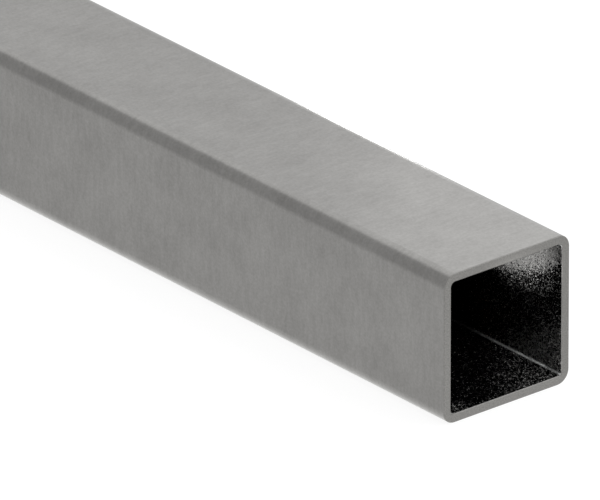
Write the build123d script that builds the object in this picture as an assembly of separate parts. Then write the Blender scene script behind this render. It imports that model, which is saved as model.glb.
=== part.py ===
from build123d import *
import os

# A length of square steel tube, cold-rolled from flat strip: one hollow piece, open at both ends.
# It lies along X on one of its flat sides, with the floor at Z = 0 and the middle of its length at X = 0.

# Driving dimensions, in millimetres
side = 50.0  # outside width across the flats, the same both ways
wall = 3.0  # thickness of the strip
bend_radius = 1.5  # inside radius of the four long corners
length = 1000.0  # cut length
edge_break = 0.3  # burr filed off both rims of each sawn end

# The strip keeps its thickness round a bend, so the outer corner is the inner one plus the wall.
outer_corner = bend_radius + wall
bore = side - 2 * wall


def section():
    """The tube's cross-section, centred on the axis: a rounded square with a rounded square hole."""
    outline = RectangleRounded(side, side, outer_corner)
    hole = RectangleRounded(bore, bore, bend_radius)
    return outline - hole


def square_tube():
    """The section drawn out along X, with the sharp rims of both sawn ends taken off."""
    blank = extrude(Plane.YZ * section(), amount=length / 2, both=True)
    sawn_ends = blank.faces().filter_by(Axis.X)
    deburred = chamfer(sawn_ends.edges(), edge_break)
    return Pos(0, 0, side / 2) * deburred


tube = square_tube()
tube.label = "square_tube"

os.makedirs("parts", exist_ok=True)
export_step(tube, "parts/square_tube.step")

print(f"outside {side} x {side} mm, wall {wall} mm, bore {bore} mm, length {length} mm")
print(f"corners: {outer_corner} mm outside, {bend_radius} mm inside")
print(f"volume {tube.volume:.0f} mm3")
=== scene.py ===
# %% [markdown]
# # A length of square steel tube
#
# The tube is a stock length of hollow square section. A mill makes it by rolling flat steel strip round
# until its edges meet and are welded, then squeezing the round pipe square. So it is one piece, its walls
# are all as thick as the strip, and its four long corners are bends and not sharp edges.
#
# The solid model already has that shape at its true size, so no mesh is built here. What a solid model
# lacks is the finish of the metal, a floor to lie on, and light, and this file adds those. Places in the
# scene are in metres, and patterns on the metal are worked in millimetres.

# %% Load the tube
import math

import bpy
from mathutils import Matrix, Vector


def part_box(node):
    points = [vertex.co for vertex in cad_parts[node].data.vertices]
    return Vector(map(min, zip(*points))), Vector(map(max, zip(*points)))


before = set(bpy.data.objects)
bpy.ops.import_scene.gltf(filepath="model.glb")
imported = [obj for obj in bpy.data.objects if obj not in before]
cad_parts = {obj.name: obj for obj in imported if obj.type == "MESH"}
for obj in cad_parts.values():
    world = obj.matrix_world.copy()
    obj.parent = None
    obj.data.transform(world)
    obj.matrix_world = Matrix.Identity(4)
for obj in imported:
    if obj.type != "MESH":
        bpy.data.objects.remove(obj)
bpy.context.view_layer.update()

MM = 0.001

tube = bpy.data.objects["square_tube"]
tube_low, tube_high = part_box("square_tube")
half_length = tube_high.x
width = tube_high.z - tube_low.z
mid_height = (tube_low.z + tube_high.z) / 2
print(f"tube {2 * half_length:.3f} m long, {width / MM:.1f} mm square")

# %% [markdown]
# ## Two helpers
#
# A picture gives a colour as a hex code in sRGB, but the renderer counts light, so each code is turned to
# linear once, here.
#
# The other helper adds one node to a material. It takes the node's inputs, each either a value or another
# node's output, and its settings, so that a material reads as a short list of steps. A Mix node has its
# own inputs for each kind of data, so those go by number: 0 is the share of the second one, 2 and 3 are
# the two numbers, 4 and 5 the two vectors, 6 and 7 the two colours. Its outputs 0, 1 and 2 are in the
# same order.

# %% Colour and node helpers
def linear(hex_code):
    """The linear colour of an sRGB hex code such as "8b8a88"."""
    parts = [int(hex_code[i:i + 2], 16) / 255 for i in (0, 2, 4)]
    bent = [p / 12.92 if p <= 0.04045 else ((p + 0.055) / 1.055) ** 2.4 for p in parts]
    return (*bent, 1.0)


def add(tree, kind, inputs=None, **settings):
    """Adds one node. Each input, by name or number, takes a value or another node's output."""
    node = tree.nodes.new("ShaderNode" + kind)
    for name, setting in settings.items():
        setattr(node, name, setting)
    for name, source in (inputs or {}).items():
        if isinstance(source, bpy.types.NodeSocket):
            tree.links.new(source, node.inputs[name])
        else:
            node.inputs[name].default_value = source
    return node


print("a mid grey of 808080 reflects", round(linear("808080")[0], 3), "of the light")

# %% [markdown]
# ## Mill-finish steel
#
# Three finishes meet on a piece of tube. Outside is the mill finish: steel that was rolled, squeezed
# square and then dressed by a belt that ran across the length, which leaves fine hairlines round the
# section. The ends are fresh saw cuts, in a finer and more even grey. The bore was never dressed, and
# keeps the gritty scale of the hot strip.
#
# All three are on one solid. It could be cut into faces with a material each, but a pattern that knows
# its place needs no cuts, so one material holds all three. The larger of a point's two distances from the
# axis is 22 mm on the bore's walls and 25 mm outside, so a cut between the two finds the bore. The
# distance from the middle of the length finds the sawn ends. Each cut falls on the small bevel that the
# file left round the rims, where it doesn't show.

# %% Find the bore and the sawn ends
steel = bpy.data.materials.new("mill_finish_steel")
steel.use_nodes = True
steel.node_tree.nodes.clear()
metal = steel.node_tree

wall_mm = 3.0
edge_break_mm = 0.3
cut_slack_mm = 0.02
half_length_mm = half_length / MM
mid_height_mm = mid_height / MM
bore_half_mm = width / MM / 2 - wall_mm
bore_cut_mm = bore_half_mm + cut_slack_mm
end_cut_mm = half_length_mm - edge_break_mm / 2

place = add(metal, "TexCoord").outputs["Object"]
in_mm = add(metal, "VectorMath", {0: place, "Scale": 1 / MM}, operation="SCALE").outputs[0]
point = add(metal, "SeparateXYZ", {0: in_mm}).outputs
along = add(metal, "Math", {0: point["X"]}, operation="ABSOLUTE").outputs[0]
across = add(metal, "Math", {0: point["Y"]}, operation="ABSOLUTE").outputs[0]
above = add(metal, "Math", {0: point["Z"], 1: mid_height_mm}, operation="SUBTRACT").outputs[0]
upright = add(metal, "Math", {0: above}, operation="ABSOLUTE").outputs[0]
from_axis = add(metal, "Math", {0: across, 1: upright}, operation="MAXIMUM").outputs[0]
in_bore = add(metal, "Math", {0: from_axis, 1: bore_cut_mm}, operation="LESS_THAN").outputs[0]
on_end = add(metal, "Math", {0: along, 1: end_cut_mm}, operation="GREATER_THAN").outputs[0]
print(f"bore within {bore_cut_mm:.2f} mm of the axis, ends past {end_cut_mm:.2f} mm from the middle")

# %% [markdown]
# ### The outside
#
# The belt's hairlines run round the section, so their noise is squeezed along the tube and drawn out
# across it. Real hairlines are a few hundredths of a millimetre wide, too fine to show at this distance,
# so they are drawn a millimetre and a half wide, as the eye sees them bunch together. Specks of scale
# that the belt missed lie between them, and wide soft clouds lie under both: a film of oil and faint dirt
# that all stock wears. To the eye this is a dull, even grey that only looks brushed from close by.
#
# An anisotropic shader could give a brushed shine without any pattern, but it draws no lines, and the
# bunches can just be seen in the picture. So a pattern draws them.

# %% Hairlines, specks and clouds
hairline_mm = 1.5
hairline_length_mm = 6.5
speck_mm = 0.8
cloud_mm = 14.0
hairline_share = 0.5
cloud_share = 0.3

squeeze = (1 / hairline_mm, 1 / hairline_length_mm, 1 / hairline_length_mm)
belt_way = add(metal, "VectorMath", {0: in_mm, 1: squeeze}, operation="MULTIPLY").outputs[0]
hairlines = add(metal, "TexNoise", {"Vector": belt_way, "Scale": 1.0, "Detail": 3.0, "Roughness": 0.6})
specks = add(metal, "TexNoise", {"Vector": in_mm, "Scale": 1 / speck_mm, "Detail": 1.0})
clouds = add(metal, "TexNoise", {"Vector": in_mm, "Scale": 1 / cloud_mm, "Detail": 2.0})
grain = add(metal, "Mix", {0: hairline_share, 2: specks.outputs[0], 3: hairlines.outputs[0]}).outputs[0]
mottle = add(metal, "Mix", {0: cloud_share, 2: grain, 3: clouds.outputs[0]}).outputs[0]
print(f"hairlines {hairline_mm} mm wide and {hairline_length_mm} mm long, clouds {cloud_mm} mm wide")

# %% [markdown]
# The pattern drives a narrow range of grey, because steel that one belt dressed hardly changes colour. A
# noise seldom leaves the range from 0.3 to 0.7, so the two ends of the grey are put there. The hairlines
# are also cut into the surface. A bump map shows that without a finer mesh, and at eight thousandths of a
# millimetre it only breaks up the shine. The gloss is that of a dull metal.

# %% Dull grey, and the depth of the hairlines
dark_at = 0.3
pale_at = 0.7
mill_roughness = 0.3
hairline_depth_mm = 0.008
mill_colour = add(metal, "ValToRGB", {0: mottle})
mill_colour.color_ramp.elements[0].position = dark_at
mill_colour.color_ramp.elements[0].color = linear("7b7a78")
mill_colour.color_ramp.elements[1].position = pale_at
mill_colour.color_ramp.elements[1].color = linear("91908e")
mill_relief = add(metal, "Bump", {"Height": hairlines.outputs[0], "Distance": hairline_depth_mm * MM})
print(f"the belt cut {hairline_depth_mm} mm deep")

# %% [markdown]
# ### The sawn ends
#
# A cold saw leaves the 3 mm edge of the strip bare, with fine scratches that cross each other and are too
# small to show a direction from here. So an even grit of half a millimetre stands for them. It is rougher
# than the outside, and to the eye it makes a flat grey frame round the dark bore.

# %% Saw-cut grey
grit_mm = 0.5
sawn_roughness = 0.45
grit = add(metal, "TexNoise", {"Vector": in_mm, "Scale": 1 / grit_mm, "Detail": 2.0})
sawn_colour = add(metal, "ValToRGB", {0: grit.outputs[0]})
sawn_colour.color_ramp.elements[0].position = dark_at
sawn_colour.color_ramp.elements[0].color = linear("777674")
sawn_colour.color_ramp.elements[1].position = pale_at
sawn_colour.color_ramp.elements[1].color = linear("8d8c89")
print(f"saw grit {grit_mm} mm")

# %% [markdown]
# ### The bore
#
# Inside, the strip still wears its scale: a crust of tiny black flakes, each tipped its own way. A bump
# map would blur them, because they are about as small as the picture's points. So each cell of a cell
# pattern stands for one flake. Its random colour is read as a direction, counted from the middle of the
# colours, and the wall's normal is leaned that way, so that each flake glints or stays black by itself.
# Real flakes are a tenth of a millimetre and less, too fine to show, so they are drawn about a quarter of
# a millimetre wide.

# %% Flakes of scale
flake_mm = 0.27
mid_colour = (0.5, 0.5, 0.5)
flakes = add(metal, "TexVoronoi", {"Vector": in_mm, "Scale": 1 / flake_mm}).outputs["Color"]
flake_way = add(metal, "VectorMath", {0: flakes, 1: mid_colour}, operation="SUBTRACT").outputs[0]
flake_number = add(metal, "SeparateColor", {0: flakes}).outputs["Green"]
wall_normal = add(metal, "NewGeometry").outputs["Normal"]
print(f"flakes {flake_mm} mm wide")

# %% [markdown]
# The green part of a flake's colour serves as its random number as well, and the flake is pale bare
# metal where that number is below the share of pale flakes at its place. So the painted light fades out
# in specks and not in a blur.
#
# Pale flakes are laid out as painted light from the mouth: most in its low corner at the back, where
# light through the mouth falls. A round patch could stand for that, but the painted light spreads far
# along the lower wall and only a little up the back one. So each way is measured by itself, and one sum
# says how far a flake is out of that corner: its depth, its distance from the back wall and its height,
# with a weight for each.

# %% Painted light: pale flakes out of the low back corner
light_share_most = 0.55
light_share_least = 0.17
light_near_mm = 20.0
light_far_mm = 42.0
weight_from_back = 1.2
weight_of_height = 2.0
depth = add(metal, "Math", {0: half_length_mm, 1: along}, operation="SUBTRACT").outputs[0]
from_back = add(metal, "Math", {0: bore_half_mm, 1: point["Y"]}, operation="SUBTRACT").outputs[0]
height = add(metal, "Math", {0: above, 1: bore_half_mm}, operation="ADD").outputs[0]
level_way = add(metal, "Math", {0: from_back, 1: weight_from_back, 2: depth},
                operation="MULTIPLY_ADD").outputs[0]
out_of_corner = add(metal, "Math", {0: height, 1: weight_of_height, 2: level_way},
                    operation="MULTIPLY_ADD").outputs[0]
# painted light: most pale flakes in the mouth's low back corner, where light through the mouth falls
light_by_corner = add(metal, "MapRange", {"Value": out_of_corner, "From Min": light_near_mm,
                                    "From Max": light_far_mm, "To Min": light_share_most, "To Max": light_share_least},
                interpolation_type="SMOOTHSTEP").outputs[0]
print(f"{light_share_most:.0%} of the flakes are bare in the corner, {light_share_least:.0%} well out of it")

# %% [markdown]
# Two more factors lower that share. Deeper into the tube, from 24 mm to 46 mm in, the painted light
# fades to painted shade until a tenth of it is left. And on the top and bottom walls it is less than half
# as much as on the side walls.

# %% Painted shade deep in, and less on the level walls
fade_from_mm = 24.0
fade_to_mm = 46.0
left_deep_in = 0.1
left_on_level_walls = 0.4
# painted shade: fewer pale flakes deeper in the bore
shade_by_depth = add(metal, "MapRange", {"Value": depth, "From Min": fade_from_mm, "From Max": fade_to_mm,
                                   "To Min": 1.0, "To Max": left_deep_in}).outputs[0]
on_level_wall = add(metal, "Math", {0: upright, 1: across}, operation="GREATER_THAN").outputs[0]
by_wall = add(metal, "Mix", {0: on_level_wall, 2: 1.0, 3: left_on_level_walls}).outputs[0]
light_by_place = add(metal, "Math", {0: light_by_corner, 1: shade_by_depth}, operation="MULTIPLY").outputs[0]
back_corner_light = add(metal, "Math", {0: light_by_place, 1: by_wall}, operation="MULTIPLY").outputs[0]
print(f"the wear is {left_deep_in:.0%} of itself {fade_to_mm:.0f} mm in")

# %% [markdown]
# The low front corner of the mouth has painted light too: half of the flakes are pale at the rim, and
# fewer and fewer further away. A distance from that corner is all it takes.

# %% Painted light at the low front corner
front_corner_light_most = 0.5
front_corner_light_reach_mm = 14.0
front_corner_mm = (half_length_mm, -bore_half_mm, mid_height_mm - bore_half_mm)
from_front_corner = add(metal, "VectorMath", {0: in_mm, 1: front_corner_mm}, operation="DISTANCE").outputs["Value"]
# painted light: pale flakes at the low front corner of the mouth
front_corner_light = add(metal, "MapRange", {"Value": from_front_corner, "From Max": front_corner_light_reach_mm, "To Min": front_corner_light_most,
                                  "To Max": 0.0}).outputs[0]
mouth_light_share = add(metal, "Math", {0: back_corner_light, 1: front_corner_light}, operation="MAXIMUM").outputs[0]
print(f"the knock reaches {front_corner_light_reach_mm:.0f} mm")

# %% [markdown]
# High on the back wall, by the mouth, an oval patch of nearly all pale flakes is painted light: a pool of
# light that falls there through the mouth, which the spot lamp below lights further. There the flakes
# lean less as well. The oval is about twice as long as it is high and dips a little into the tube. A
# Mapping node set to Texture lays a pattern at a place, turned and stretched, so one such node turns a
# plain distance into that oval.

# %% Painted light patch
patch_depth_mm = 26.0
patch_height_mm = 20.0
patch_core_mm = 12.5
patch_edge_mm = 20.0
patch_most = 0.86
patch_stretch = (2.0, 1.0, 0.95)
patch_dip = math.radians(15)
patch_centre_mm = (half_length_mm - patch_depth_mm, bore_half_mm, mid_height_mm + patch_height_mm)
oval = add(metal, "Mapping", {"Vector": in_mm, "Location": patch_centre_mm, "Rotation": (0, -patch_dip, 0),
                              "Scale": patch_stretch}, vector_type="TEXTURE").outputs[0]
reach = add(metal, "VectorMath", {0: oval}, operation="LENGTH").outputs["Value"]
painted_light_patch = add(metal, "MapRange", {"Value": reach, "From Min": patch_core_mm, "From Max": patch_edge_mm,
                                 "To Min": patch_most, "To Max": 0.0},
             interpolation_type="SMOOTHSTEP").outputs[0]
# painted light: the pale flakes of the corners and of the patch stand for light through the mouth
painted_light_share = add(metal, "Math", {0: mouth_light_share, 1: painted_light_patch}, operation="MAXIMUM").outputs[0]
is_pale_flake = add(metal, "Math", {0: flake_number, 1: painted_light_share}, operation="LESS_THAN").outputs[0]
print(f"the patch fades out {patch_edge_mm * patch_stretch[0]:.0f} mm from its middle, along its length")

# %% [markdown]
# Now each flake gets its colour, near black or the grey of bare steel, and its lean. The lean is the
# random direction, made longer or shorter and added to the wall's normal. The longer it is, the fewer
# flakes face the light at once, and the more each of those stands out. In the last millimetres before the
# rim the pale flakes of the patch are paler still, a painted highlight that makes up for the spot lamp's
# light falling off there.

# %% Colour and lean of each flake
flake_lean = 1.3
patch_lean = 0.35
rim_highlight_to_mm = 2.5
rim_highlight_gone_mm = 6.0
at_rim = add(metal, "MapRange", {"Value": depth, "From Min": rim_highlight_to_mm,
                                 "From Max": rim_highlight_gone_mm, "To Min": 1.0, "To Max": 0.0}).outputs[0]
rim_highlight = add(metal, "Math", {0: painted_light_patch, 1: at_rim}, operation="MULTIPLY").outputs[0]
# painted highlight: the patch's flakes are paler still in the last millimetres by the rim
pale_flake_colour = add(metal, "Mix", {0: rim_highlight, 6: linear("acaba9"), 7: linear("f2f1ef")}, data_type="RGBA")
flake_colour = add(metal, "Mix", {0: is_pale_flake, 6: linear("090909"), 7: pale_flake_colour.outputs[2]},
                   data_type="RGBA")
lean = add(metal, "MapRange", {"Value": painted_light_patch, "To Min": flake_lean, "To Max": patch_lean}).outputs[0]
tipped = add(metal, "VectorMath", {0: flake_way, 1: lean, 2: wall_normal},
             operation="MULTIPLY_ADD").outputs[0]
flake_normal = add(metal, "VectorMath", {0: tipped}, operation="NORMALIZE").outputs[0]
print(f"flakes lean up to {math.degrees(math.atan(flake_lean / 2)):.0f} degrees each way")

# %% [markdown]
# Along the middle of each inner corner lies a line about a millimetre wide of pale, rough metal. It is a
# painted highlight: the light that the bend catches from the mouth. It is full to 18 mm in and lost in the
# scale by 45 mm, so to the eye it is a thin thread of light that leads into the dark. Within 6 mm of the
# mouth it is a third darker.
#
# A thin strip of mesh could be laid into the bend instead, but the smaller of a point's two distances from
# the axis already says how far into a corner it is, on all four bends at once.

# %% Painted highlight line along the bends
line_reach_mm = 0.9
line_blur_mm = 0.4
highlight_full_to_mm = 18.0
highlight_gone_mm = 45.0
dimmed_to_mm = 6.0
undimmed_from_mm = 8.0
left_at_mouth = 0.66
line_start_mm = bore_half_mm - line_reach_mm
into_corner = add(metal, "Math", {0: across, 1: upright}, operation="MINIMUM").outputs[0]
on_highlight_line = add(metal, "MapRange", {"Value": into_corner, "From Min": line_start_mm,
                                  "From Max": line_start_mm + line_blur_mm}).outputs[0]
highlight_by_depth = add(metal, "MapRange", {"Value": depth, "From Min": highlight_full_to_mm, "From Max": highlight_gone_mm,
                                "To Min": 1.0, "To Max": 0.0},
            interpolation_type="SMOOTHSTEP").outputs[0]
mouth_dimming = add(metal, "MapRange", {"Value": depth, "From Min": dimmed_to_mm,
                                    "From Max": undimmed_from_mm, "To Min": left_at_mouth}).outputs[0]
pale = add(metal, "Math", {0: highlight_by_depth, 1: mouth_dimming}, operation="MULTIPLY").outputs[0]
# painted highlight along the inner bends, fading with depth
painted_highlight_line_colour = add(metal, "Mix", {0: pale, 6: linear("3c3d3c"), 7: linear("f5f7f6")}, data_type="RGBA")
print(f"bare lines from {line_start_mm:.1f} mm off both middle planes")

# %% [markdown]
# The painted highlight line lies on top of the flakes, so it is mixed over them by its own mask. The two
# differ in gloss too: a flake is smooth and glints, and the line is rough.

# %% Scale and highlight line together
scale_roughness = 0.45
line_roughness = 0.8
bore_colour = add(metal, "Mix", {0: on_highlight_line, 6: flake_colour.outputs[2], 7: painted_highlight_line_colour.outputs[2]},
                  data_type="RGBA")
bore_roughness = add(metal, "Mix", {0: on_highlight_line, 2: scale_roughness, 3: line_roughness}).outputs[0]
print(f"scale has roughness {scale_roughness}, the line {line_roughness}")

# %% [markdown]
# ### One metal with three finishes
#
# Now colour, roughness and normal are each picked by place, and one metal shader takes them. It is a full
# metal everywhere, since even the scale is thin and glints. A metal shines white when it is seen at a
# slant, but scale stays dark, so inside the bore the tint of that slanting shine is darkened too.

# %% Join the finishes
walls_colour = add(metal, "Mix", {0: in_bore, 6: mill_colour.outputs[0], 7: bore_colour.outputs[2]},
                   data_type="RGBA")
colour = add(metal, "Mix", {0: on_end, 6: walls_colour.outputs[2], 7: sawn_colour.outputs[0]},
             data_type="RGBA")
slant_shine = add(metal, "Mix", {0: in_bore, 6: linear("ffffff"), 7: linear("a0a0a0")}, data_type="RGBA")
walls_roughness = add(metal, "Mix", {0: in_bore, 2: mill_roughness, 3: bore_roughness}).outputs[0]
roughness = add(metal, "Mix", {0: on_end, 2: walls_roughness, 3: sawn_roughness}).outputs[0]
normal = add(metal, "Mix", {0: in_bore, 4: mill_relief.outputs[0], 5: flake_normal}, data_type="VECTOR")
surface = add(metal, "BsdfPrincipled", {"Metallic": 1.0, "Base Color": colour.outputs[2],
                                        "Specular Tint": slant_shine.outputs[2], "Roughness": roughness,
                                        "Normal": normal.outputs[1]})
add(metal, "OutputMaterial", {"Surface": surface.outputs[0]})
tube.material_slots[0].material = steel
print(f"{steel.name} has {len(metal.nodes)} nodes")

# %% [markdown]
# ## The view
#
# The picture looks at the open end from its front side and a little above. Its long edges run all but
# parallel, so the camera stands 7 m back with a very long lens. An orthographic camera would make them
# exactly parallel, but moved back it shows no more of the tube, and a camera with a lens does. It is moved
# sideways and up from the end, so that the end sits low on the right and the tube runs out of the picture
# at the top left.

# %% Camera
azimuth = math.radians(50.07)
elevation = math.radians(24.985)
lens_mm = 1400.0
sensor_mm = 36.0
view_width = 0.18179
left_of_end = 0.06265
above_end = 0.02407

level_part = math.cos(elevation)
back = Vector((math.sin(azimuth) * level_part, -math.cos(azimuth) * level_part, math.sin(elevation)))
right = Vector((math.cos(azimuth), math.sin(azimuth), 0))
up = back.cross(right)
end_centre = Vector((half_length, 0, mid_height))
distance = view_width * lens_mm / sensor_mm

lens = bpy.data.cameras.new("camera")
lens.lens = lens_mm
lens.sensor_width = sensor_mm
camera = bpy.data.objects.new("camera", lens)
bpy.context.scene.collection.objects.link(camera)
camera.location = end_centre - right * left_of_end + up * above_end + back * distance
camera.rotation_euler = (math.pi / 2 - elevation, 0, azimuth)
bpy.context.scene.camera = camera
print(f"camera {distance:.2f} m from the tube's end")

# %% [markdown]
# ## The floor
#
# The tube lies on a level white floor. Paint that looked white by itself would need so much light that it
# washed the tube out. So the paint is kept dark, and a glow that soft light doesn't carry lifts it to
# white. The small share of real paint keeps the tube's soft shadow.

# %% White floor
floor_half = 60.0
corners = [(-floor_half, -floor_half, 0), (floor_half, -floor_half, 0),
           (floor_half, floor_half, 0), (-floor_half, floor_half, 0)]
floor_mesh = bpy.data.meshes.new("floor")
floor_mesh.from_pydata(corners, [], [(0, 1, 2, 3)])
floor = bpy.data.objects.new("floor", floor_mesh)
bpy.context.scene.collection.objects.link(floor)
print(f"floor {2 * floor_half:.0f} m square")

# %% [markdown]
# Metal shows what stands round it, so what its mirrored rays find on the floor is shaped with care. The
# glow fades out to the front, as a studio floor does away from the lamps, and that darkens the lower part
# of the top bend. A glowing strip under the tube, which only mirrored rays see, gives the lower bend its
# thin line of light as a reflection, and past the end of the tube the strip is dimmer, so that the sawn
# end stays grey.

# %% What the metal sees of the floor
glow_near = 0.85
glow_far = 0.5
fade_start = -0.06
fade_end = -0.25
strip_glow = 0.62
strip_half = 0.022
strip_blur = 0.009
strip_past_end = 0.26

paint = bpy.data.materials.new("white_floor_paint")
paint.use_nodes = True
paint.node_tree.nodes.clear()
coat = paint.node_tree
floor_place = add(coat, "TexCoord").outputs["Object"]
floor_point = add(coat, "SeparateXYZ", {0: floor_place}).outputs
open_floor = add(coat, "MapRange", {"Value": floor_point["Y"], "From Min": fade_end,
                                    "From Max": fade_start, "To Min": glow_far, "To Max": glow_near},
                 interpolation_type="SMOOTHSTEP").outputs[0]
beside = add(coat, "Math", {0: floor_point["Y"]}, operation="ABSOLUTE").outputs[0]
# a glow strip that only mirrored rays see, for the lower bend's reflected line of light
glow_strip = add(coat, "MapRange", {"Value": beside, "From Min": strip_half, "From Max": strip_half + strip_blur,
                               "To Min": strip_glow, "To Max": 0.0}).outputs[0]
down_length = add(coat, "Math", {0: floor_point["X"]}, operation="ABSOLUTE").outputs[0]
beneath = add(coat, "Math", {0: down_length, 1: half_length}, operation="LESS_THAN").outputs[0]
strip_share = add(coat, "Mix", {0: beneath, 2: strip_past_end, 3: 1.0}).outputs[0]
metal_sees = add(coat, "Math", {0: glow_strip, 1: strip_share, 2: open_floor},
                 operation="MULTIPLY_ADD").outputs[0]
print(f"the floor glows {glow_near} beside the tube and {glow_far} further to the front")

# %% [markdown]
# The Light Path node tells one kind of ray from another. The camera gets one even glow, mirrored rays get
# the shaped one, as rays through glass would, and rays that carry soft light get none, so that the floor
# is no lamp for matt things. The glow and the dark matt paint are then added up.

# %% Paint, glow and shadow
camera_sees = 0.87
paint_grey = 0.2
ray = add(coat, "LightPath").outputs
glow_level = add(coat, "Mix", {0: ray["Is Camera Ray"], 2: metal_sees, 3: camera_sees}).outputs[0]
glow = add(coat, "Emission", {"Color": (1, 1, 1, 1), "Strength": glow_level})
seen = add(coat, "Math", {0: ray["Is Camera Ray"], 1: ray["Is Glossy Ray"]}, operation="MAXIMUM").outputs[0]
shown = add(coat, "Math", {0: seen, 1: ray["Is Transmission Ray"]}, operation="MAXIMUM").outputs[0]
shown_glow = add(coat, "MixShader", {0: shown, 2: glow.outputs[0]})
matt = add(coat, "BsdfDiffuse", {"Color": (paint_grey, paint_grey, paint_grey, 1)})
floor_look = add(coat, "AddShader", {0: matt.outputs[0], 1: shown_glow.outputs[0]})
add(coat, "OutputMaterial", {"Surface": floor_look.outputs[0]})
floor_mesh.materials.append(paint)
print(f"the floor glows {camera_sees} to the camera")

# %% [markdown]
# ## The light
#
# The room is a plain white studio whose front wall is dimmer than the rest, with a ceiling brighter than
# the walls. The flat faces stay even in it. The top bend mirrors first the ceiling and then the dim wall,
# and that gives it a dark line with a crisp upper edge. The camera itself sees plain white. A picture of a
# real studio could be wrapped round the scene for this, but three plain levels can be read and changed.

# %% Studio room
backdrop = 1.0
front_wall = 0.73
other_walls = 1.085
ceiling = 1.47
front_wall_from = 0.07
front_wall_full = -0.19
ceiling_from = 0.42
ceiling_full = 0.62

world = bpy.data.worlds.new("studio")
bpy.context.scene.world = world
world.use_nodes = True
world.node_tree.nodes.clear()
room = world.node_tree
look_way = add(room, "TexCoord").outputs["Generated"]
look = add(room, "SeparateXYZ", {0: look_way}).outputs
by_height = add(room, "MapRange", {"Value": look["Z"], "From Min": ceiling_from, "From Max": ceiling_full,
                                   "To Min": other_walls, "To Max": ceiling}).outputs[0]
room_light = add(room, "MapRange", {"Value": look["Y"], "From Min": front_wall_full,
                                    "From Max": front_wall_from, "To Min": front_wall,
                                    "To Max": by_height}, interpolation_type="SMOOTHSTEP").outputs[0]
is_camera = add(room, "LightPath").outputs["Is Camera Ray"]
strength = add(room, "Mix", {0: is_camera, 2: room_light, 3: backdrop}).outputs[0]
studio = add(room, "Background", {"Color": (1, 1, 1, 1), "Strength": strength})
add(room, "OutputWorld", {"Surface": studio.outputs[0]})
print(f"front wall {front_wall}, other walls {other_walls}, ceiling {ceiling}")

# %% [markdown]
# ### Three lamps
#
# A softbox hangs where the top face mirrors it to the camera near the open end, so the top brightens
# along its last 100 mm. It has to lie in the mirrored direction of the view, so its place is worked out
# from the camera's. Each lamp is told where to look and from which side, which one helper turns to a
# place and a turn.

# %% Softbox
def hang(lamp, aim, way, far):
    """Puts a lamp that far from its aim, on the side that way points to, turned to face the aim."""
    holder = bpy.data.objects.new(lamp.name, lamp)
    bpy.context.scene.collection.objects.link(holder)
    way = way.normalized()
    holder.location = aim + way * far
    holder.rotation_euler = (-way).to_track_quat("-Z", "Y").to_euler()
    print(f"{lamp.name} at {[round(v, 3) for v in holder.location]}")


softbox_past_end = 0.035
softbox_far = 0.45
softbox = bpy.data.lights.new("softbox", "AREA")
softbox.shape = "RECTANGLE"
softbox.size = 0.12
softbox.size_y = 0.3
softbox.energy = 0.048
mirrored_way = Vector((-back.x, -back.y, back.z))
hang(softbox, Vector((half_length + softbox_past_end, 0, width)), mirrored_way, softbox_far)

# %% [markdown]
# A small spot lamp stands low in front of the mouth and lights the painted patch of pale flakes. Without
# it the patch is dim, however pale its metal, because from here it mirrors mostly the dark bore. The beam
# is narrow, so that most of it passes inside the rim, and what touches the sawn end hardly shows there.

# %% Spot lamp for the patch
spot_depth = 0.0215
spot_height = 0.0145
spot_far = 0.3
spot_way = Vector((0.69, -0.72, -0.11))
spot_lamp = bpy.data.lights.new("spot_lamp", "SPOT")
spot_lamp.spot_size = math.radians(6.1)
spot_lamp.spot_blend = 0.9
spot_lamp.shadow_soft_size = 0.002
spot_lamp.energy = 35.0
patch_middle = Vector((half_length - spot_depth, bore_half_mm * MM, mid_height + spot_height))
hang(spot_lamp, patch_middle, spot_way, spot_far)

# %% [markdown]
# A little lamp stands low behind the tube. The far top bend mirrors it near the open end, as a thin glint
# that melts into the white behind it.

# %% Low lamp for the glint
glint_from_end = 0.095
low_far = 0.2
low_way = Vector((-0.69, 0.71, -0.055))
low_lamp = bpy.data.lights.new("low_lamp", "AREA")
low_lamp.size = 0.035
low_lamp.energy = 0.022
far_top_bend = Vector((half_length - glint_from_end, width / 2, width))
hang(low_lamp, far_top_bend, low_way, low_far)

# %% [markdown]
# ## Finish
#
# The view transform is set to Standard, so that a grey renders as it was written.

# %% Finish
bpy.context.scene.view_settings.view_transform = "Standard"
